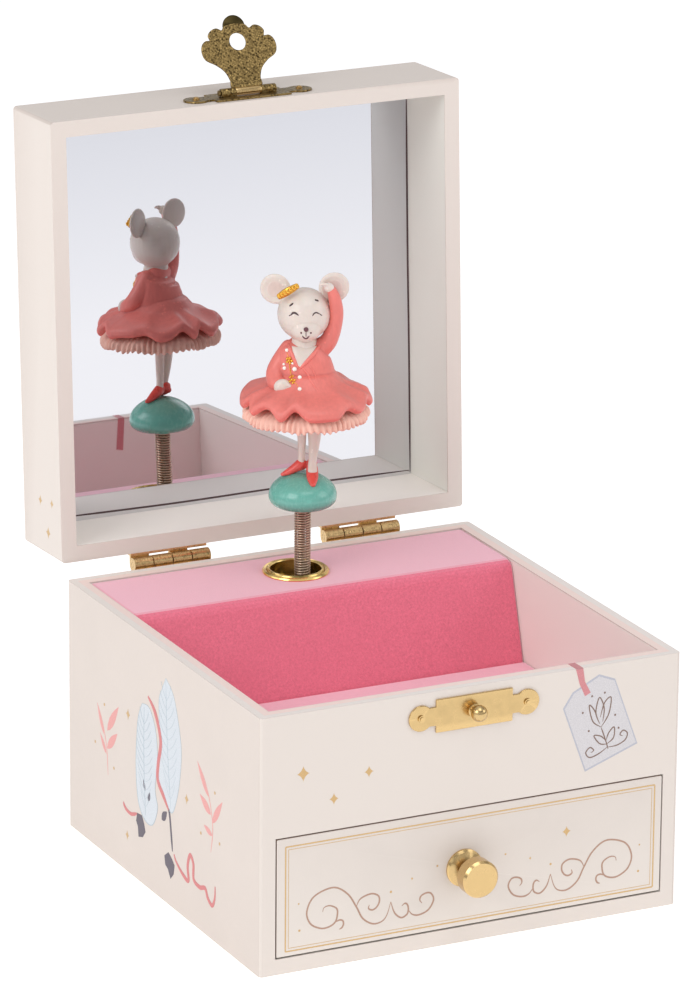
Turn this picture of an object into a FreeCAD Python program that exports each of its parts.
import FreeCAD, Part
import math
import os
import re
import Sketcher

# Ballerina jewellery box: a paper-covered case with a drawer, a hinged mirror lid,
# a spring-mounted dancer and the musical movement that turns the dancer.
# Row frame: origin at the centre of the case's footprint, +X right, +Y back, +Z up, mm.
# The lid stands open, against the stop of its hinges.

doc = FreeCAD.newDocument("ballerina_jewellery_box")
sheet = doc.addObject("Spreadsheet::Sheet", "Dims")

DIMENSIONS = {
    # case
    "box_half": (55, "half the width and half the depth"),
    "base_height": (64, "case height to its rim"),
    "wall": (4, "board plus paper"),
    "paper": (0.3, "paper cover thickness"),
    "corner_radius": (0.9, "outer upright edges"),
    "bay_top": (34, "top of the drawer opening"),
    "floor_under": (34.4, "underside of the compartment floor"),
    "floor_board_top": (38.4, "top of the compartment floor board"),
    "floor_top": (39.8, "top of the floor liner"),
    "platform_top": (63.8, "top of the platform liner"),
    "liner": (1.4, "velour on card"),
    "slope_top_y": (23.3, "front edge of the platform"),
    "slope_foot_y": (15.7, "foot of the platform's sloping face"),
    "bay_wall_y": (27.2, "front face of the wall before the movement"),
    "bay_wall_thick": (2.3, "wall before the movement"),
    # lid, measured from the hinge axis with the lid closed
    "hinge_y": (57.77, "hinge axis behind the centre"),
    "hinge_z": (64.35, "hinge axis above the table"),
    "hinge_drop": (0.35, "lid rim above the hinge axis"),
    "lid_height": (22.8, "lid rim to lid top"),
    "mirror_depth": (20.7, "lid rim to mirror"),
    "mirror_thick": (0.8, "mirror glass"),
    "lid_open": (92.7, "lid angle at the hinge stop, degrees"),
    # hinges
    "hinge_x": (26.1, "hinge centre from the middle"),
    "hinge_length": (20.5, "hinge leaf length"),
    "leaf_thick": (0.8, "hinge leaf"),
    "leaf_height": (9, "hinge leaf"),
    "knuckle_radius": (1.75, "hinge knuckle"),
    "knuckle_gap": (0.3, "between knuckles"),
    "pin_radius": (0.6, "hinge pin"),
    "running": (0.05, "radial running clearance"),
    # catch and hasp
    "catch_z": (58, "catch stud height"),
    "plate_half": (17, "half length of catch and hasp plates"),
    "plate_thick": (0.5, "catch and hasp plates"),
    "lobe_x": (13.9, "nail lobe centre"),
    "lobe_radius": (3.15, "nail lobe"),
    "plate_middle": (10, "half length of the plate's middle"),
    "plate_middle_half": (4.1, "half height of the plate's middle"),
    "ball_radius": (2, "catch stud ball"),
    "hasp_reach": (12.4, "hasp pivot to flap hole"),
    "hasp_out": (1.35, "hasp pivot from the lid's face"),
    "hasp_lean": (26, "flap at rest, back from straight out of the lid's face, degrees"),
    "hasp_hole": (2.4, "flap hole radius"),
    "hasp_knuckle": (1.05, "hasp knuckle radius"),
    # drawer
    "drawer_gap": (0.35, "round the drawer front"),
    "drawer_back_y": (24.5, "back of the drawer"),
    "drawer_side": (2.3, "drawer side board"),
    "drawer_side_top": (29.5, "drawer side height"),
    "drawer_floor": (1.5, "drawer bottom board"),
    "knob_x": (-2, "drawer knob, left of the middle"),
    "knob_z": (19, "drawer knob height"),
    # movement
    "bezel_x": (-1.3, "bezel centre from the middle"),
    "bezel_y": (38.1, "bezel centre behind the middle"),
    "axis_x": (0.5, "dancer's spindle, right of the middle"),
    "axis_y": (38.1, "dancer's spindle behind the middle"),
    "train_x": (14.24, "winding arbor and tune cylinder"),
    "train_y": (40.8, "tune cylinder and governor wheel"),
    "arbor_z": (20, "winding arbor height"),
    "arbor_radius": (1.5, "winding arbor"),
    "bedplate_front": (48.8, "bedplate front face"),
    "crown_inner": (10.8, "great wheel tooth ring"),
    "crown_outer": (13.2, "great wheel tooth ring"),
    "crown_tip_y": (43.4, "great wheel tooth tips"),
    "cylinder_low": (35, "tune cylinder, lower end"),
    "cylinder_high": (51, "tune cylinder, upper end"),
    "cylinder_radius": (6.25, "tune cylinder"),
    "wheel_low": (55, "spur wheels, lower face"),
    "governor_x": (24.14, "governor wheel"),
    "fan_x": (29.64, "governor fan"),
    "fan_z": (52.9, "governor fan"),
    # dancer, heights above the table
    "bezel_radius": (8.3, "brass bezel on the platform"),
    "spring_low": (60.6, "dancer's spring, lower end"),
    "spring_high": (80.6, "dancer's spring, upper end"),
    "spring_radius": (1.8, "spring, middle of the wire"),
    "wire_radius": (0.25, "spring wire"),
    "spring_pitch": (0.66, "spring pitch"),
    "plinth_low": (79.8, "underside of the dancer's domed plinth, before the lift"),
    "figure_lift": (1, "figure above the heights it is drawn at"),
    "facing": (-26, "dancer's heading at rest, degrees about +Z"),
}
for row, (alias, (value, note)) in enumerate(DIMENSIONS.items(), start=1):
    sheet.set("A%d" % row, alias)
    sheet.set("B%d" % row, str(value))
    sheet.set("C%d" % row, note)
    sheet.setAlias("B%d" % row, alias)
doc.recompute()

X_AXIS = FreeCAD.Vector(1, 0, 0)
Y_AXIS = FreeCAD.Vector(0, 1, 0)
Z_AXIS = FreeCAD.Vector(0, 0, 1)
ALONG = {
    "z": FreeCAD.Rotation(),
    "y": FreeCAD.Rotation(X_AXIS, -90),
    "x": FreeCAD.Rotation(Y_AXIS, 90),
}
handed_over = []


# ---------------------------------------------------------------- helpers

def formula(text):
    """Turns the sheet's aliases in a formula into references to the sheet."""
    return re.sub(r"[a-z]\w*", lambda word: "Dims." + word.group(0), str(text))


def value(text):
    """The number a formula stands for."""
    names = {alias: number for alias, (number, note) in DIMENSIONS.items()}
    total = FreeCAD.Units.Quantity(re.sub(r"[a-z]\w*", lambda word: str(names[word.group(0)]), str(text)))
    return float(total.Value)


def bind(thing, prop, text):
    thing.setExpression(prop, formula(text))


def place(thing, at, rotation=None):
    """Binds a thing's position to three formulas and turns it."""
    if rotation is not None:
        thing.Placement = FreeCAD.Placement(FreeCAD.Vector(), rotation)
    for letter, text in zip("xyz", at):
        bind(thing, "Placement.Base." + letter, text)


def node(thing, label):
    """Marks a thing as one sub-part to hand over under its own name."""
    thing.Label = label
    handed_over.append(thing)
    return thing


def box(low, high):
    thing = doc.addObject("Part::Box", "Box")
    for prop, start, end in zip(("Length", "Width", "Height"), low, high):
        bind(thing, prop, "(%s) - (%s)" % (end, start))
    place(thing, low)
    return thing


def cylinder(radius, length, at, along="z"):
    thing = doc.addObject("Part::Cylinder", "Cylinder")
    bind(thing, "Radius", radius)
    bind(thing, "Height", length)
    place(thing, at, ALONG[along])
    return thing


def ball(radius, at):
    thing = doc.addObject("Part::Sphere", "Ball")
    bind(thing, "Radius", radius)
    place(thing, at)
    return thing


def fuse(parts):
    thing = doc.addObject("Part::MultiFuse", "Fuse")
    thing.Shapes = parts
    thing.Refine = True
    return thing


def cut(base, tools):
    thing = doc.addObject("Part::Cut", "Cut")
    thing.Base = base
    thing.Tool = tools[0] if len(tools) == 1 else fuse(tools)
    return thing


def group(parts):
    """Separate solids that are handed over as one node."""
    thing = doc.addObject("Part::Compound", "Group")
    thing.Links = parts
    return thing


def plane_of(body, role):
    return next(item for item in body.Origin.OriginFeatures if item.Role == role)


def sketch_on(body, role, offset="0"):
    sketch = body.newObject("Sketcher::SketchObject", "Sketch")
    sketch.AttachmentSupport = [(plane_of(body, role), "")]
    sketch.MapMode = "FlatFace"
    bind(sketch, "AttachmentOffset.Base.z", offset)
    return sketch


def outline(sketch, corners):
    """A closed outline whose corners are bound to pairs of formulas."""
    points = [FreeCAD.Vector(value(a), value(b), 0) for a, b in corners]
    count = len(points)
    for i in range(count):
        sketch.addGeometry(Part.LineSegment(points[i], points[(i + 1) % count]), False)
    for i in range(count):
        sketch.addConstraint(Sketcher.Constraint("Coincident", i, 2, (i + 1) % count, 1))
    for i, (a, b) in enumerate(corners):
        across = sketch.addConstraint(Sketcher.Constraint("DistanceX", -1, 1, i, 1, points[i].x))
        up = sketch.addConstraint(Sketcher.Constraint("DistanceY", -1, 1, i, 1, points[i].y))
        bind(sketch, "Constraints[%d]" % across, a)
        bind(sketch, "Constraints[%d]" % up, b)


def circle(sketch, radius, centre=("0", "0")):
    middle = FreeCAD.Vector(value(centre[0]), value(centre[1]), 0)
    ring = sketch.addGeometry(Part.Circle(middle, Z_AXIS, value(radius)), False)
    size = sketch.addConstraint(Sketcher.Constraint("Radius", ring, value(radius)))
    across = sketch.addConstraint(Sketcher.Constraint("DistanceX", -1, 1, ring, 3, middle.x))
    up = sketch.addConstraint(Sketcher.Constraint("DistanceY", -1, 1, ring, 3, middle.y))
    bind(sketch, "Constraints[%d]" % size, radius)
    bind(sketch, "Constraints[%d]" % across, centre[0])
    bind(sketch, "Constraints[%d]" % up, centre[1])


def new_body(name):
    return doc.addObject("PartDesign::Body", name)


def pad(body, sketch, length):
    thing = body.newObject("PartDesign::Pad", "Pad")
    thing.Profile = sketch
    bind(thing, "Length", length)
    body.Tip = thing
    return thing


def board(low, high):
    """A flat board: a rectangle padded upwards."""
    body = new_body("Board")
    sketch = sketch_on(body, "XY_Plane", low[2])
    outline(sketch, [(low[0], low[1]), (high[0], low[1]), (high[0], high[1]), (low[0], high[1])])
    pad(body, sketch, "(%s) - (%s)" % (high[2], low[2]))
    return body


def turned(corners):
    """A piece turned about +Z: corners are (radius, height) formulas."""
    body = new_body("Turned")
    sketch = sketch_on(body, "XZ_Plane")
    outline(sketch, corners)
    spin = body.newObject("PartDesign::Revolution", "Revolution")
    spin.Profile = sketch
    spin.ReferenceAxis = (plane_of(body, "Z_Axis"), [""])
    spin.Angle = 360
    body.Tip = spin
    return body


def domed(points):
    """A rounded turned piece: a smooth curve through (radius, height) points,
    closed by a flat end where its last point is off the axis."""
    body = new_body("Domed")
    sketch = sketch_on(body, "XZ_Plane")
    curve = Part.BSplineCurve()
    curve.interpolate([FreeCAD.Vector(r, up, 0) for r, up in points])
    sketch.addGeometry(curve, False)
    start = FreeCAD.Vector(points[0][0], points[0][1], 0)
    end = FreeCAD.Vector(points[-1][0], points[-1][1], 0)
    foot = FreeCAD.Vector(0, end.y, 0)
    if end.x > 0:
        sketch.addGeometry(Part.LineSegment(end, foot), False)
    sketch.addGeometry(Part.LineSegment(foot, start), False)
    spin = body.newObject("PartDesign::Revolution", "Revolution")
    spin.Profile = sketch
    spin.ReferenceAxis = (plane_of(body, "Z_Axis"), [""])
    spin.Angle = 360
    body.Tip = spin
    return body


def toothed(teeth, root, tip, foot_half, tip_half, thick, bore=None, foot_low="0", foot_high=None):
    """A wheel with straight teeth, or with teeth that stand on one face when
    foot_low starts above the disc."""
    body = new_body("Wheel")
    disc = sketch_on(body, "XY_Plane")
    circle(disc, root if foot_high is None else tip)
    if bore:
        circle(disc, bore)
    pad(body, disc, thick)
    tooth = sketch_on(body, "XY_Plane", foot_low)
    start = "(%s) - 0.3" % root if foot_high is None else root
    outline(tooth, [(start, "-(%s)" % foot_half), (tip, "-(%s)" % tip_half), (tip, tip_half), (start, foot_half)])
    first = pad(body, tooth, thick if foot_high is None else "(%s) - (%s)" % (foot_high, foot_low))
    pattern = body.newObject("PartDesign::PolarPattern", "Teeth")
    pattern.Originals = [first]
    pattern.Axis = (plane_of(body, "Z_Axis"), [""])
    pattern.Angle = 360
    pattern.Occurrences = teeth
    body.Tip = pattern
    return body


# ---------------------------------------------------------------- case

board_half = "box_half - paper"
room_half = "box_half - wall"


def case():
    """Five boards, the paper round them and the boards that divide the inside."""
    top = "base_height - paper"
    front = board(["-(%s)" % board_half, "-(%s)" % board_half, "0"],
                  [board_half, "-(%s)" % room_half, top])
    opening = box(["-(%s)" % room_half, "-box_half - 5", "wall"], [room_half, "-box_half + 10", "bay_top"])
    node(cut(front, [opening]), "case_front_panel")
    back = board(["-(%s)" % board_half, room_half, "0"], [board_half, board_half, top])
    key_hole = cylinder("3.5", "20", ["train_x", "box_half - 10", "arbor_z"], "y")
    node(cut(back, [key_hole]), "case_back_panel")
    node(board(["-(%s)" % board_half, "-(%s)" % room_half, "0"],
               ["-(%s)" % room_half, room_half, top]), "case_left_panel")
    node(board([room_half, "-(%s)" % room_half, "0"], [board_half, room_half, top]), "case_right_panel")
    node(board(["-(%s)" % room_half, "-(%s)" % room_half, "0"], [room_half, room_half, "wall"]),
         "case_bottom_panel")

    block = box(["-box_half", "-box_half", "0.2"], ["box_half", "box_half", "base_height"])
    rounded = doc.addObject("Part::Fillet", "Rounded")
    rounded.Base = block
    doc.recompute()
    uprights = [i for i, edge in enumerate(block.Shape.Edges, start=1)
                if abs(edge.tangentAt(edge.FirstParameter).z) > 0.9]
    corner = value("corner_radius")
    rounded.Edges = [(i, corner, corner) for i in uprights]
    inside = box(["-(%s)" % board_half, "-(%s)" % board_half, "-1"], [board_half, board_half, top])
    mouth = box(["-(%s)" % room_half, "-(%s)" % room_half, "-1"], [room_half, room_half, "base_height + 1"])
    slot = box(["-(%s)" % room_half, "-box_half - 5", "wall"], [room_half, "-box_half + 10", "bay_top"])
    paper_hole = cylinder("3.5", "20", ["train_x", "box_half - 10", "arbor_z"], "y")
    node(cut(rounded, [inside, mouth, slot, paper_hole]), "case_paper_cover")

    node(board(["-(%s)" % room_half, "-(%s)" % room_half, "floor_under"],
               [room_half, "bay_wall_y", "floor_board_top"]), "compartment_floor")
    node(board(["-(%s)" % room_half, "bay_wall_y", "wall"],
               [room_half, "bay_wall_y + bay_wall_thick", "platform_top - liner"]), "movement_bay_wall")
    node(board(["-(%s)" % room_half, "-(%s)" % room_half, "floor_board_top"],
               [room_half, "slope_foot_y", "floor_top"]), "floor_liner")


def platform_liner():
    """Velour on card: a flat top, and a face that slopes down to the floor."""
    body = new_body("PlatformLiner")
    sketch = sketch_on(body, "YZ_Plane", "-(%s)" % room_half)
    slope_thick = "liner * 1.06"
    edge_radius = 3
    rounded_edge = []
    for turn in (90, 108.3, 126.7, 145, 163.3):
        along = edge_radius * (0.744 + math.cos(math.radians(turn)))
        below = edge_radius * (1 - math.sin(math.radians(turn)))
        rounded_edge.append(("slope_top_y + (%r)" % along, "platform_top - (%r)" % below))
    outline(sketch, [
        (room_half, "platform_top"),
    ] + rounded_edge + [
        ("slope_foot_y", "floor_board_top"),
        ("slope_foot_y + %s" % slope_thick, "floor_board_top"),
        ("slope_top_y + 0.9", "platform_top - liner - 0.5"),
        ("slope_top_y + 1.5", "platform_top - liner"),
        (room_half, "platform_top - liner"),
    ])
    pad(body, sketch, "2 * (%s)" % room_half)
    hole = cylinder("bezel_radius - 1.1", "10", ["bezel_x", "bezel_y", "platform_top - 5"])
    node(cut(body, [hole]), "platform_liner")


def bezel():
    """Pressed brass ring round the dancer's spring."""
    ring = turned([
        ("6.3", "-4"), ("7.15", "-4"), ("7.15", "0"), ("bezel_radius - 0.1", "0"), ("bezel_radius", "0.25"),
        ("bezel_radius - 0.15", "0.6"), ("bezel_radius - 0.5", "0.85"), ("bezel_radius - 0.95", "0.7"),
        ("7.15", "0.55"), ("6.95", "0.9"), ("6.7", "1.05"), ("6.45", "1"), ("6.3", "0.8"),
    ])
    place(ring, ["bezel_x", "bezel_y", "platform_top"])
    node(ring, "spindle_bezel")


# ---------------------------------------------------------------- lid

lid_turn = FreeCAD.Rotation(X_AXIS, -value("lid_open"))
lid_back = "-(hinge_y - box_half)"
lid_front = "-(hinge_y + box_half)"


def on_lid(thing, label):
    """Opens a piece that was drawn about the hinge axis with the lid closed."""
    place(thing, ["0", "hinge_y", "hinge_z"], lid_turn)
    return node(thing, label)


def lid():
    """Four walls, the top board, the paper round them, and the mirror."""
    rim = "hinge_drop + paper"
    board_top = "hinge_drop + lid_height - paper"
    mirror_back = "hinge_drop + mirror_depth + mirror_thick"
    front = ["%s + paper" % lid_front, "%s + wall" % lid_front]
    back = ["%s - wall" % lid_back, "%s - paper" % lid_back]
    on_lid(board(["-(%s)" % board_half, front[0], rim], [board_half, front[1], mirror_back]), "lid_front_wall")
    on_lid(board(["-(%s)" % board_half, back[0], rim], [board_half, back[1], mirror_back]), "lid_back_wall")
    on_lid(board(["-(%s)" % board_half, front[1], rim], ["-(%s)" % room_half, back[0], mirror_back]),
           "lid_left_wall")
    on_lid(board([room_half, front[1], rim], [board_half, back[0], mirror_back]), "lid_right_wall")
    on_lid(board(["-(%s)" % board_half, front[0], mirror_back], [board_half, back[1], board_top]), "lid_top_panel")
    on_lid(board(["-(%s)" % room_half, front[1], "hinge_drop + mirror_depth"],
                 [room_half, back[0], mirror_back]), "mirror")

    block = box(["-box_half", lid_front, "hinge_drop"], ["box_half", lid_back, "hinge_drop + lid_height"])
    rounded = doc.addObject("Part::Fillet", "RoundedLid")
    rounded.Base = block
    doc.recompute()
    corner = value("corner_radius")
    rounded.Edges = [(i, corner, corner) for i, edge in enumerate(block.Shape.Edges, start=1)
                     if abs(edge.tangentAt(edge.FirstParameter).z) > 0.9]
    inside = box(["-(%s)" % board_half, front[0], rim], [board_half, back[1], board_top])
    mouth = box(["-(%s)" % room_half, front[1], "hinge_drop - 1"], [room_half, back[0], "hinge_drop + 5"])
    on_lid(cut(rounded, [inside, mouth]), "lid_paper_cover")


# ---------------------------------------------------------------- hinges

def knuckle_span(index):
    """Start and length of one of a hinge's four knuckles along X."""
    pitch = "(hinge_length + knuckle_gap) / 4"
    return "%d * %s" % (index, pitch), "%s - knuckle_gap" % pitch


def leaf(start_x, knuckles, side):
    """One leaf about the hinge axis: side -1 goes down the case, +1 up the lid."""
    knuckle_parts = []
    bores = [cylinder("pin_radius + running", "hinge_length + 2", ["%s - 1" % start_x, "0", "0"], "x")]
    inner = "%s" % lid_back
    web_low = "knuckle_radius - leaf_thick" if side > 0 else "-knuckle_radius"
    web_high = "knuckle_radius" if side > 0 else "-(knuckle_radius - leaf_thick)"
    for index in knuckles:
        offset, length = knuckle_span(index)
        begin = "%s + %s" % (start_x, offset)
        knuckle_parts.append(cylinder("knuckle_radius", length, [begin, "0", "0"], "x"))
        knuckle_parts.append(box([begin, inner, web_low], ["%s + %s" % (begin, length), "0", web_high]))
    plate_low = web_low if side > 0 else "-leaf_height"
    plate_high = "leaf_height" if side > 0 else web_high
    plate = box([start_x, inner, plate_low], ["%s + hinge_length" % start_x, "%s + leaf_thick" % inner, plate_high])
    for share in ("0.22", "0.78"):
        bores.append(cylinder("0.5", "5", ["%s + %s * hinge_length" % (start_x, share), "%s - 1" % inner,
                                           "%d * 5.6" % side], "y"))
    return cut(fuse(knuckle_parts + [plate]), bores)


def nail(at, along, shank):
    """A small domed nail; its head stands outwards from the point given."""
    head = cylinder("0.85", "0.4", at, along)
    crown = cylinder("0.5", "0.6", at, along)
    stem_at = list(at)
    stem_at["xyz".index(along)] = "%s - (%s)" % (at["xyz".index(along)], shank)
    stem = cylinder("0.45", shank, stem_at, along)
    return fuse([head, crown, stem])


def hinges():
    nails_lid = []
    nails_case = []
    pins = []
    for side, sign in (("left", "-"), ("right", "")):
        start = "%shinge_x - hinge_length / 2" % sign
        base_leaf = leaf(start, (1, 3), -1)
        place(base_leaf, ["0", "hinge_y", "hinge_z"], FreeCAD.Rotation())
        node(base_leaf, side + "_hinge_case_leaf")
        on_lid(leaf(start, (0, 2), 1), side + "_hinge_lid_leaf")
        pins.append(cylinder("pin_radius", "hinge_length", [start, "hinge_y", "hinge_z"], "x"))
        for share in ("0.22", "0.78"):
            across = "%s + %s * hinge_length" % (start, share)
            nails_case.append(nail([across, "box_half + leaf_thick", "hinge_z - 5.6"], "y", "leaf_thick"))
            nails_lid.append(nail([across, "%s + leaf_thick" % lid_back, "5.6"], "y", "leaf_thick"))
    node(group(pins), "hinge_pins")
    return nails_case, nails_lid


# ---------------------------------------------------------------- catch and hasp

def lobed_plate(height):
    """The front view of both plates: a deep middle between two nail lobes.
    It lies against the plane y = 0 and stands out towards -Y."""
    parts = [box(["-plate_middle", "-plate_thick", "(%s) - plate_middle_half" % height],
                 ["plate_middle", "0", "(%s) + plate_middle_half" % height])]
    parts.append(box(["-lobe_x", "-plate_thick", "(%s) - lobe_radius * 0.72" % height],
                     ["lobe_x", "0", "(%s) + lobe_radius * 0.72" % height]))
    for sign in ("-", ""):
        parts.append(cylinder("lobe_radius", "plate_thick", [sign + "lobe_x", "-plate_thick", height], "y"))
    holes = [cylinder("0.5", "5", [sign + "lobe_x", "-2", height], "y") for sign in ("-", "")]
    return cut(fuse(parts), holes)


def catch():
    plate = lobed_plate("0")
    place(plate, ["0", "-box_half", "catch_z"], FreeCAD.Rotation())
    node(plate, "catch_plate")
    stud = turned([("0", "0"), ("1.6", "0"), ("1.6", "0.2"), ("0.9", "0.5"), ("0.9", "1.6"), ("0", "1.6")])
    place(stud, ["0", "-box_half - plate_thick", "catch_z"], FreeCAD.Rotation(X_AXIS, 90))
    head = ball("ball_radius", ["0", "-box_half - plate_thick - 0.3 - ball_radius", "catch_z"])
    node(fuse([stud, head]), "catch_stud")
    nails = []
    for sign in ("-", ""):
        front_nail = nail(["0", "0", "0"], "z", "plate_thick")
        place(front_nail, [sign + "lobe_x", "-box_half - plate_thick", "catch_z"], FreeCAD.Rotation(X_AXIS, 90))
        nails.append(front_nail)
    return nails


hasp_pivot = ["0", "%s - hasp_out" % lid_front, "catch_z + hasp_reach - hinge_z"]


def hasp():
    """The lid's plate with its two end knuckles, the pin, and the swinging flap."""
    middle = hasp_pivot[2]
    plate = lobed_plate(middle)
    place(plate, ["0", lid_front, "0"], FreeCAD.Rotation())
    window = box(["-3.4", "%s - 2" % lid_front, "%s - 1.5" % middle], ["3.4", "%s + 1" % lid_front, "%s + 1.5" % middle])
    parts = [cut(plate, [window])]
    for start in ("-7.4", "3.4"):
        parts.append(cylinder("hasp_knuckle", "4", [start, hasp_pivot[1], hasp_pivot[2]], "x"))
        parts.append(box([start, hasp_pivot[1], "%s - 1" % hasp_pivot[2]],
                         ["%s + 4" % start, lid_front, "%s + 0.4" % hasp_pivot[2]]))
    bore = cylinder("0.5 + running", "20", ["-10", hasp_pivot[1], hasp_pivot[2]], "x")
    on_lid(cut(fuse(parts), [bore]), "hasp_plate")
    on_lid(fuse([cylinder("0.5", "15.2", ["-7.6", hasp_pivot[1], hasp_pivot[2]], "x"),
                 cylinder("0.7", "0.3", ["-7.9", hasp_pivot[1], hasp_pivot[2]], "x")]), "hasp_pin")
    nails = []
    for sign in ("-", ""):
        lid_nail = nail(["0", "0", "0"], "z", "plate_thick")
        place(lid_nail, [sign + "lobe_x", "%s - plate_thick" % lid_front, middle], FreeCAD.Rotation(X_AXIS, 90))
        nails.append(lid_nail)

    # The flap is drawn about its own pivot, standing straight out from the lid's face.
    barrel = cylinder("hasp_knuckle", "6.2", ["-3.1", "0", "0"], "x")
    tongue = box(["-3.1", "-6", "-0.25"], ["3.1", "-0.6", "0.25"])
    lobes = [cylinder("4.6", "0.5", ["0", "-hasp_reach - 0.4", "-0.25"])]
    for across, out, radius in (("7.2", "8.3", "2.7"), ("5.6", "12.6", "3"), ("2.6", "15.6", "2.2")):
        for sign in ("-", ""):
            lobes.append(cylinder(radius, "0.5", [sign + across, "-" + out, "-0.25"]))
    web = box(["-7.2", "-12.6", "-0.25"], ["7.2", "-5.9", "0.25"])
    tab = box(["-3", "-19.6", "-0.25"], ["3", "-15", "0.25"])
    hole = cylinder("hasp_hole", "5", ["0", "-hasp_reach", "-2"])
    bore = cylinder("0.5 + running", "20", ["-10", "0", "0"], "x")
    flap = cut(fuse([barrel, tongue, web, tab] + lobes), [hole, bore])
    pivot = lid_turn.multVec(FreeCAD.Vector(0, value(hasp_pivot[1]), value(hasp_pivot[2])))
    leaning = FreeCAD.Rotation(X_AXIS, -value("lid_open + hasp_lean"))
    place(flap, ["0", "hinge_y + (%r)" % pivot.y, "hinge_z + (%r)" % pivot.z], leaning)
    node(flap, "hasp_flap")
    return nails


# ---------------------------------------------------------------- drawer

def drawer():
    half = "%s - drawer_gap" % room_half
    low = "wall + drawer_gap"
    inner = "%s - 0.4 - drawer_side" % half
    outer = "%s - 0.4" % half
    face_back = "-(%s)" % room_half
    front = board(["-(%s)" % half, "-box_half", low], [half, face_back, "bay_top - drawer_gap"])
    screw_hole = cylinder("0.8", "20", ["knob_x", "-box_half - 5", "knob_z"], "y")
    node(cut(front, [screw_hole]), "drawer_front")
    for side, first, last in (("left", "-(%s)" % outer, "-(%s)" % inner), ("right", inner, outer)):
        node(board([first, face_back, low], [last, "drawer_back_y", "drawer_side_top"]), "drawer_%s_side" % side)
    node(board(["-(%s)" % inner, "drawer_back_y - drawer_side", low],
               [inner, "drawer_back_y", "drawer_side_top"]), "drawer_back")
    node(board(["-(%s)" % inner, face_back, low],
               [inner, "drawer_back_y - drawer_side", "%s + drawer_floor" % low]), "drawer_bottom")
    node(board(["-(%s) + 0.2" % inner, "%s + 0.2" % face_back, "%s + drawer_floor" % low],
               ["%s - 0.2" % inner, "drawer_back_y - drawer_side - 0.2", "%s + drawer_floor + 0.9" % low]),
         "drawer_liner")
    knob = turned([
        ("0.8", "0"), ("4.65", "0"), ("4.65", "0.5"), ("4.1", "1"), ("2.3", "1.9"), ("2", "3.4"),
        ("2.6", "4.6"), ("4.2", "5.1"), ("4.6", "5.5"), ("4.6", "8.6"), ("4.1", "9.2"), ("0", "9.2"), ("0", "6"),
        ("0.8", "6"),
    ])
    place(knob, ["knob_x", "-box_half", "knob_z"], FreeCAD.Rotation(X_AXIS, 90))
    node(knob, "drawer_knob")
    screw = turned([
        ("0", "-6"), ("2.4", "-6"), ("2.4", "-5"), ("1.8", "-4"), ("0.75", "-4"), ("0.75", "5.9"), ("0", "5.9"),
    ])
    place(screw, ["knob_x", "-box_half", "knob_z"], FreeCAD.Rotation(X_AXIS, 90))
    node(screw, "knob_screw")


# ---------------------------------------------------------------- musical movement

def bedplate():
    """Vertical plate on the back board, with shelves that carry the arbors."""
    front = "bedplate_front"
    parts = [box(["train_x - 28", front, "6"], ["train_x + 20", "%s - 0.2" % room_half, "59.4"])]
    shelves = (
        ("train_x", "3.6", "33.7", "34.6", "37.5"),
        ("train_x", "3.2", "57.6", "58.6", "37.5"),
        ("axis_x", "3.2", "52.4", "53.4", "34.8"),
        ("axis_x", "3.2", "57.6", "58.6", "34.8"),
    )
    for across, half, low, high, reach in shelves:
        parts.append(box(["%s - %s" % (across, half), reach, low], ["%s + %s" % (across, half), front, high]))
    parts.append(box(["train_x - 27", "43.6", "35.5"], ["train_x - 21.5", front, "50.5"]))
    holes = [
        cylinder("arbor_radius + running", "20", ["train_x", "40", "arbor_z"], "y"),
        cylinder("1 + running", "40", ["train_x", "train_y", "30"]),
        cylinder("1.5 + running", "20", ["axis_x", "axis_y", "45"]),
    ]
    node(cut(fuse(parts), holes), "movement_bedplate")


def spring_barrel():
    """Round mainspring housing on a bridge that stands over the great wheel."""
    drum = cylinder("10", "11", ["train_x", "33.6", "arbor_z"], "y")
    bridge = box(["train_x - 15", "33.6", "arbor_z - 3"], ["train_x + 15", "34.8", "arbor_z + 3"])
    legs = [box([first, "33.6", "arbor_z - 3"], ["%s + 1.2" % first, "bedplate_front", "arbor_z + 3"])
            for first in ("train_x - 15", "train_x + 13.8")]
    room = cylinder("9.2", "9", ["train_x", "34.6", "arbor_z"], "y")
    bore = cylinder("arbor_radius + running", "20", ["train_x", "30", "arbor_z"], "y")
    node(cut(fuse([drum, bridge] + legs), [room, bore]), "spring_barrel")


def comb():
    """Steel comb of eighteen teeth, each tuned by its own slot length."""
    plate = box(["train_x - 27", "42.8", "35.5"], ["train_x - 6.9", "43.6", "50.5"])
    pitch = 15 / 18
    slots = []
    for i in range(1, 18):
        level = "35.5 + %r" % (i * pitch)
        slots.append(box(["train_x - 20 + %r" % (0.22 * i), "42", "%s - 0.09" % level],
                         ["train_x - 5", "45", "%s + 0.09" % level]))
    screw_holes = [cylinder("0.9", "10", ["train_x - 24.2", "40", up], "y") for up in ("38.5", "47.5")]
    node(cut(plate, slots + screw_holes), "music_comb")


def movement_screws():
    screws = []
    for across, up in (("train_x - 25", "10"), ("train_x + 17", "10"), ("train_x - 25", "56"), ("train_x + 17", "56")):
        screws.append(fuse([cylinder("2", "1.2", [across, "bedplate_front - 1.2", up], "y"),
                            cylinder("1.1", "0.6", [across, "bedplate_front - 1.8", up], "y")]))
    for up in ("38.5", "47.5"):
        screws.append(fuse([cylinder("1.7", "1", ["train_x - 24.2", "41.8", up], "y"),
                            cylinder("0.85", "1.8", ["train_x - 24.2", "41.8", up], "y")]))
    node(group(screws), "movement_screws")


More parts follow.
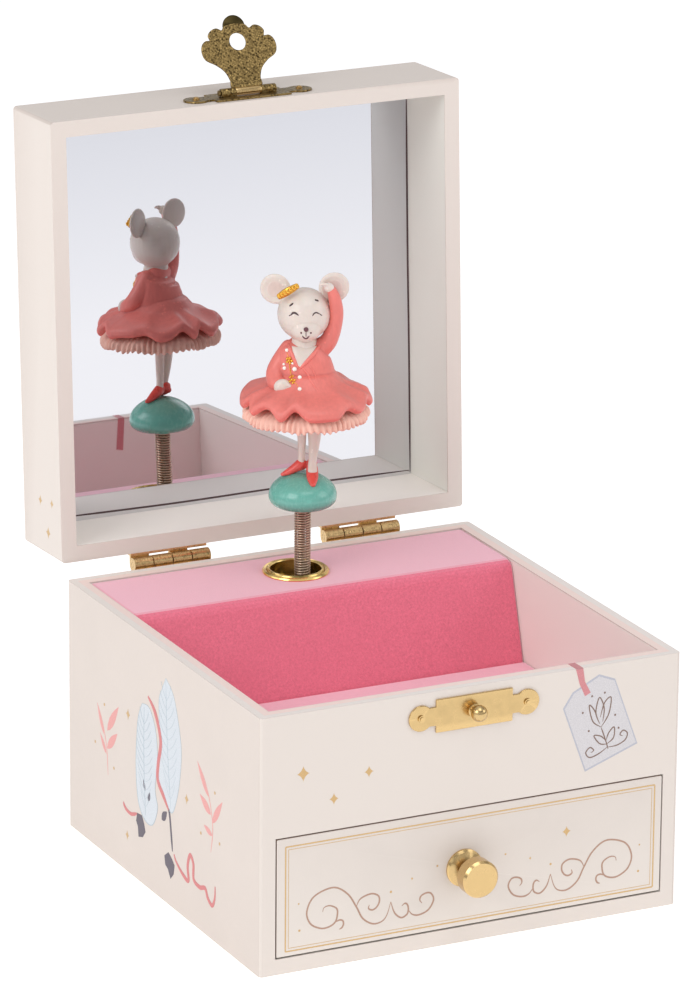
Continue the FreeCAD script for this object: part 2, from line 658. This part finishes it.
def winding():
    """Arbor, key and great wheel turn together about Y."""
    node(cylinder("arbor_radius", "24.5", ["train_x", "36", "arbor_z"], "y"), "winding_arbor")

    wheel = toothed(30, "crown_inner", "crown_outer", "0.36", "0.42", "2.6",
                    bore="arbor_radius + 0.02", foot_low="2.6", foot_high="4.4")
    place(wheel, ["train_x", "47.8", "arbor_z"], FreeCAD.Rotation(X_AXIS, 90))
    node(wheel, "great_wheel")

    hub = cylinder("2.9", "4.6", ["train_x", "56", "arbor_z"], "y")
    wing = box(["train_x - 7", "59.5", "arbor_z - 0.8"], ["train_x + 7", "68.5", "arbor_z + 0.8"])
    ears = [cylinder("5", "1.6", ["train_x %s 7" % sign, "65.2", "arbor_z - 0.8"]) for sign in "-+"]
    bore = cylinder("arbor_radius + 0.02", "4.5", ["train_x", "56", "arbor_z"], "y")
    windows = [cylinder("2.4", "5", ["train_x %s 7.4" % sign, "65.4", "arbor_z - 2"]) for sign in "-+"]
    node(cut(fuse([hub, wing] + ears), [bore] + windows), "winding_key")


def tune_cylinder():
    """Pinned cylinder on a vertical arbor, with the pinion the great wheel drives."""
    drum = cylinder("cylinder_radius", "cylinder_high - cylinder_low", ["0", "0", "cylinder_low"])
    arbor = cylinder("1", "28.6", ["0", "0", "30.6"])
    parts = [drum, arbor]
    pin_count = 36
    for i in range(pin_count):
        turn = math.radians(i * 137.5)
        level = 36 + 14 * ((i * 7) % pin_count) / pin_count
        pin = doc.addObject("Part::Cylinder", "Pin")
        pin.Radius = 0.22
        bind(pin, "Height", "cylinder_radius + 0.4")
        out = FreeCAD.Vector(math.cos(turn), math.sin(turn), 0)
        pin.Placement = FreeCAD.Placement(FreeCAD.Vector(0, 0, level), FreeCAD.Rotation(Z_AXIS, out))
        parts.append(pin)
    pinion = toothed(8, "2.35", "3.75", "0.45", "0.26", "2.6")
    place(pinion, ["0", "0", "30.7"])
    parts.append(pinion)
    whole = fuse(parts)
    place(whole, ["train_x", "train_y", "0"], FreeCAD.Rotation())
    node(whole, "tune_cylinder")

    wheel = toothed(20, "6.2", "7.55", "0.62", "0.34", "2", bore="1.02")
    place(wheel, ["train_x", "train_y", "wheel_low"])
    node(wheel, "cylinder_wheel")


def governor():
    """Pinion and worm wheel on one arbor, the fan on its worm, and their bracket."""
    pinion = toothed(8, "2", "3.4", "0.45", "0.24", "2")
    place(pinion, ["0", "0", "wheel_low"])
    worm_wheel = toothed(18, "3.3", "3.9", "0.36", "0.22", "1.6")
    place(worm_wheel, ["0", "0", "fan_z - 0.8"])
    arbor = cylinder("0.7", "9.6", ["0", "0", "49.6"])
    whole = fuse([pinion, worm_wheel, arbor])
    place(whole, ["governor_x", "train_y", "0"], FreeCAD.Rotation(Z_AXIS, 22.5))
    node(whole, "governor_wheel")

    profile = [("0", "0"), ("0.6", "0"), ("0.6", "3.4")]
    for turn in range(4):
        level = 3.4 + 0.9 * turn
        profile += [("1", "%r" % level), ("1.4", "%r" % (level + 0.3)), ("1", "%r" % (level + 0.6))]
    profile += [("0.6", "6.8"), ("0.6", "15.4"), ("0", "15.4")]
    worm = turned(profile)
    place(worm, ["fan_x", "45.6", "fan_z"], FreeCAD.Rotation(X_AXIS, 90))
    blades = box(["fan_x - 4.4", "31", "fan_z - 0.25"], ["fan_x + 4.4", "36", "fan_z + 0.25"])
    node(fuse([worm, blades]), "governor_fan")

    front = "bedplate_front"
    left = "governor_x - 2.6"
    parts = [
        box([left, "%s - 1.2" % front, "44"], ["train_x + 20", front, "53.6"]),
        box([left, "37.5", "50"], ["governor_x + 2.2", front, "51"]),
        box([left, "37.5", "57.6"], ["governor_x + 2.2", front, "58.6"]),
        box(["fan_x - 1.6", "36.8", "fan_z - 5.2"], ["fan_x + 2.2", front, "fan_z - 4.4"]),
        box(["fan_x - 1.6", "36.8", "fan_z - 5.2"], ["fan_x + 2.2", "37.7", "fan_z + 2"]),
        box(["fan_x - 1.6", "44.4", "fan_z - 5.2"], ["fan_x + 2.2", "45.3", "fan_z + 2"]),
        box([left, "%s - 1.2" % front, "53"], ["governor_x - 0.4", front, "58.6"]),
    ]
    holes = [
        cylinder("0.7 + running", "30", ["governor_x", "train_y", "35"]),
        cylinder("0.6 + running", "20", ["fan_x", "30", "fan_z"], "y"),
    ]
    node(cut(fuse(parts), holes), "governor_bracket")


def spindle():
    """Upright shaft that turns the dancer, with the wheel that drives it."""
    shaft = turned([
        ("0", "51.6"), ("2.2", "51.6"), ("2.2", "52.3"), ("1.5", "52.3"), ("1.5", "60.5"), ("0", "60.5"),
    ])
    place(shaft, ["axis_x", "axis_y", "0"])
    node(shaft, "spindle")
    # The wheel is turned until its gaps meet the teeth of the cylinder wheel.
    line_of_centres = math.degrees(math.atan2(value("train_y - axis_y"), value("train_x - axis_x")))
    mesh_turn = 9 + 2 * line_of_centres
    wheel = toothed(20, "6.2", "7.55", "0.62", "0.34", "2", bore="1.52")
    place(wheel, ["axis_x", "axis_y", "wheel_low"], FreeCAD.Rotation(Z_AXIS, mesh_turn))
    node(wheel, "spindle_wheel")


# ---------------------------------------------------------------- dancer

def on_figure(thing, label):
    """Turns a piece that was drawn facing -Y to the dancer's heading."""
    place(thing, ["axis_x", "axis_y", "figure_lift"], FreeCAD.Rotation(Z_AXIS, value("facing")))
    return node(thing, label)


def dancer_spring():
    """Close-wound coil that carries the dancer and bends under the lid."""
    coil = doc.addObject("Part::Helix", "Coil")
    bind(coil, "Pitch", "spring_pitch")
    bind(coil, "Height", "spring_high - spring_low - 2 * wire_radius - 0.2")
    bind(coil, "Radius", "spring_radius")
    wire = doc.addObject("Part::Circle", "Wire")
    bind(wire, "Radius", "wire_radius")
    bind(wire, "Placement.Base.x", "spring_radius")
    wire.Placement.Rotation = FreeCAD.Rotation(X_AXIS, 90)
    sweep = doc.addObject("Part::Sweep", "Spring")
    sweep.Sections = [wire]
    sweep.Spine = coil
    sweep.Solid = True
    sweep.Frenet = True
    place(sweep, ["axis_x", "axis_y", "spring_low + wire_radius + 0.1"])
    node(sweep, "dancer_spring")


def dancer():
    """A standing mouse in ballet dress on a round plinth; simple forms, true size."""
    dome = domed([
        (0, 88.1), (2.6, 87.9), (5.2, 86.8), (6.9, 85.5), (7.9, 84.2), (8.4, 82.4), (8.2, 81.2), (7.6, 80.4),
        (6.6, 79.8),
    ])
    socket = cylinder("2.15", "3", ["0", "0", "plinth_low - 1.6"])
    collar = cylinder("2.9", "1", ["0", "0", "plinth_low - 0.9"])
    on_figure(cut(fuse([dome, collar]), [socket]), "dancer_plinth")

    # One foot points sideways on top of the dome, the other points forward down its slope.
    shoes = []
    for across, out, up, turn, tilt in ((-2.3, 0.2, 87.3, -80, 14), (2.3, -3, 86.9, 0, 28)):
        shoe = doc.addObject("Part::Ellipsoid", "Shoe")
        shoe.Radius1 = 1.25
        shoe.Radius2 = 1.35
        shoe.Radius3 = 2.9
        heading = FreeCAD.Rotation(Z_AXIS, turn).multiply(FreeCAD.Rotation(X_AXIS, tilt))
        shoe.Placement = FreeCAD.Placement(FreeCAD.Vector(across, out, up), heading)
        shoes.append(shoe)
    leg_holes = [cylinder("1.3", "20", ["-0.7", "0", "87"]), cylinder("1.55", "20", ["2.3", "-1", "87"])]
    on_figure(cut(fuse(shoes), [dome] + leg_holes), "dancer_shoes")
    on_figure(cut(fuse([cylinder("1.25", "16.9", ["-0.7", "0", "87"]),
                        cylinder("1.5", "16.9", ["2.3", "-1", "87"]),
                        box(["-1.2", "-0.9", "102.6"], ["3", "0.4", "103.9"])]), [dome]), "dancer_legs")
    leg_room = box(["-2.2", "-2.8", "95"], ["4.1", "1.8", "104.2"])
    petticoat = turned([
        ("0", "104.4"), ("4.5", "103.8"), ("15", "101.2"), ("15.2", "101.9"), ("5", "106.8"), ("0", "107.4"),
    ])
    on_figure(cut(petticoat, [leg_room]), "dancer_petticoat")
    skirt = turned([
        ("0", "107.6"), ("5.2", "107"), ("15.4", "102.6"), ("16", "105"), ("11", "108.4"), ("5", "110.4"),
        ("4.4", "111.6"), ("5", "114.5"), ("5.4", "118"), ("4.6", "120.4"), ("2.4", "121.5"), ("0", "121.5"),
    ])
    arms = []
    for start, end, radius in (((-5, -0.5, 118.6), (-7.8, -1.2, 114), 1.4), ((-7.8, -1.2, 114), (-5.9, -4.6, 110.6), 1.2),
                               ((4.8, -0.5, 118.4), (9, -1, 122.5), 1.4), ((9, -1, 122.5), (8, -1.6, 128), 1.25)):
        low = FreeCAD.Vector(*start)
        run = FreeCAD.Vector(*end) - low
        arm = doc.addObject("Part::Cylinder", "Arm")
        arm.Radius = radius
        arm.Height = run.Length
        arm.Placement = FreeCAD.Placement(low, FreeCAD.Rotation(Z_AXIS, run))
        joint = doc.addObject("Part::Sphere", "ArmEnd")
        joint.Radius = radius
        joint.Placement.Base = FreeCAD.Vector(*end)
        arms += [arm, joint]
    on_figure(fuse([skirt] + arms), "dancer_dress")

    skull = domed([(0, 121.6), (3.4, 122.4), (5.6, 124.6), (6.7, 128), (6.2, 132.2), (3.8, 135.4), (0, 136.3)])
    neck = cylinder("1.9", "1.4", ["0", "0", "121.6"])
    ears = []
    for across in ("-7", "7"):
        ears.append(cylinder("3.7", "1.6", [across, "-0.4", "135.2"], "y"))
    clip_room = box(["-6.6", "-6", "133.2"], ["-3", "-0.4", "139.5"])
    arm_room = cylinder("1.35", "9", ["8.2", "-1.7", "121"])
    on_figure(cut(fuse([skull, neck] + ears), [clip_room, arm_room]), "dancer_head")
    clip = box(["-6.4", "-5.6", "133.9"], ["-3.2", "-4.4", "135.3"])
    stem = box(["-5.2", "-4.4", "134.2"], ["-4.4", "-0.6", "135"])
    on_figure(fuse([clip, stem]), "dancer_hair_clip")


# ---------------------------------------------------------------- assembly

case()
platform_liner()
bezel()
lid()
case_nails, lid_nails = hinges()
case_nails += catch()
lid_nails += hasp()
node(group(case_nails), "case_nails")
on_lid(group(lid_nails), "lid_nails")
drawer()
bedplate()
spring_barrel()
comb()
movement_screws()
winding()
tune_cylinder()
governor()
spindle()
dancer_spring()
dancer()
doc.recompute()

problems = [thing.Label for thing in doc.Objects if "Invalid" in thing.State or "Error" in thing.State]
problems += [thing.Label for thing in handed_over if thing.Shape.isNull() or not thing.Shape.isValid()]
if problems:
    raise RuntimeError("not sound: " + ", ".join(sorted(set(problems))))
os.makedirs("parts", exist_ok=True)
for thing in handed_over:
    thing.Shape.exportStep("parts/%s.step" % thing.Label)
print(len(handed_over), "sub-parts")
